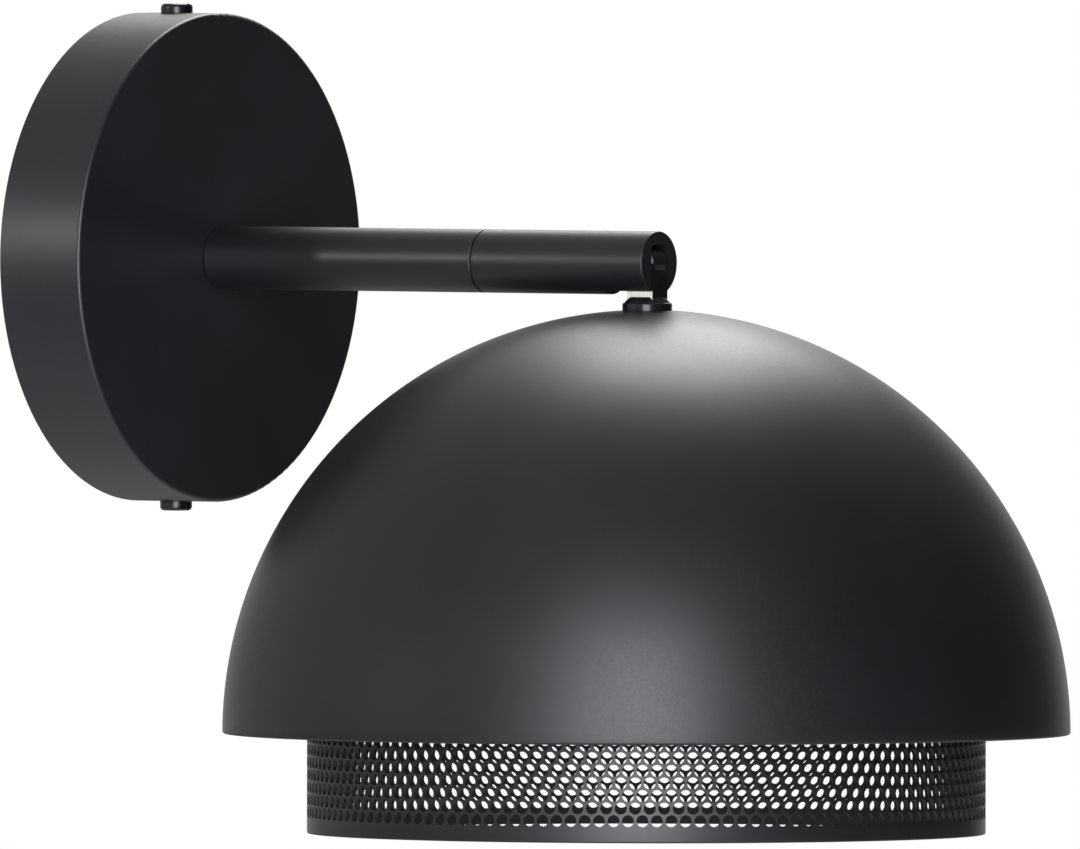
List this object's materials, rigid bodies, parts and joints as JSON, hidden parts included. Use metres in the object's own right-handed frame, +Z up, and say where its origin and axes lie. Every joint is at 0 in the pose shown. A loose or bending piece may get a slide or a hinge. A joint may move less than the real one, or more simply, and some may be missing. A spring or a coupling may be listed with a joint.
{
  "type": "wall sconce",
  "caption": "Wall sconce: round wall cup, straight tube arm with a swivelling fork head, and a hinged dome shade with a perforated band below its rim.",
  "frame": {"origin": "centre of the wall bracket's two screw slots, on the wall, at the centre of the wall cup's back edge", "axes": "+Z up, +Y into the wall, so the arm stands out along -Y; +X is to the right when facing the wall"},
  "size_m": [0.2, 0.246, 0.1947],
  "materials": {
    "cup_paint": "satin black powder coat",
    "arm_paint": "satin black powder coat",
    "shade_paint": "satin black powder coat",
    "drum_paint": "satin black powder coat",
    "inner_paint": "satin black",
    "screw_black": "blackened, semi-gloss",
    "tongue_metal": "gloss black with bare machined side flats",
    "zinc_steel": "zinc plated",
    "brass": "turned",
    "terminal_plastic": "moulded",
    "holder_plastic": "moulded thermoset",
    "core_ceramic": "unglazed",
    "nylon": "natural nylon",
    "lead_sleeve": "woven silicone sleeve, cream"
  },
  "bodies": {
    "wall_mount": {"wall_cup": "cup_paint", "wall_bracket": "zinc_steel", "cover_screws": "screw_black", "terminal_block": "terminal_plastic", "terminal_screws": "brass", "terminal_fixing_screw": "zinc_steel", "earth_screw": "brass", "earth_washer": "zinc_steel", "arm_nipple": "brass", "arm_washer": "zinc_steel", "arm_lock_nut": "zinc_steel", "arm_root_insert": "brass", "arm_tube": "arm_paint", "arm_front_bush": "brass", "arm_lead": "lead_sleeve"},
    "arm_head": {"arm_head": "arm_paint", "swivel_spigot": "brass", "swivel_stop_pin": "zinc_steel", "swivel_washer": "zinc_steel", "swivel_nut": "zinc_steel", "pivot_screw": "screw_black", "friction_washers": "nylon", "head_lead": "lead_sleeve"},
    "shade": {"shade_stem": "tongue_metal", "stem_lead": "lead_sleeve", "dome_shade": "shade_paint", "shade_washer": "zinc_steel", "shade_nut": "zinc_steel", "lampholder_cap": "holder_plastic", "lampholder_shell": "holder_plastic", "lampholder_core": "core_ceramic", "lamp_screw_sleeve": "brass", "centre_contact": "brass", "upper_carrier_ring": "holder_plastic", "lower_carrier_ring": "holder_plastic", "drum_carrier": "inner_paint", "perforated_drum": "drum_paint", "drum_rivets": "drum_paint"}
  },
  "joints": [
    {"name": "arm_swivel", "type": "hinge", "parent": "wall_mount", "child": "arm_head", "pos_m": [0, -0.1, 0], "axis": [0, 1, 0], "range_deg": [-165, 165]},
    {"name": "shade_tilt", "type": "hinge", "parent": "arm_head", "child": "shade", "pos_m": [0, -0.146, 0], "axis": [-1, 0, 0], "range_deg": [-12, 90]}
  ]
}
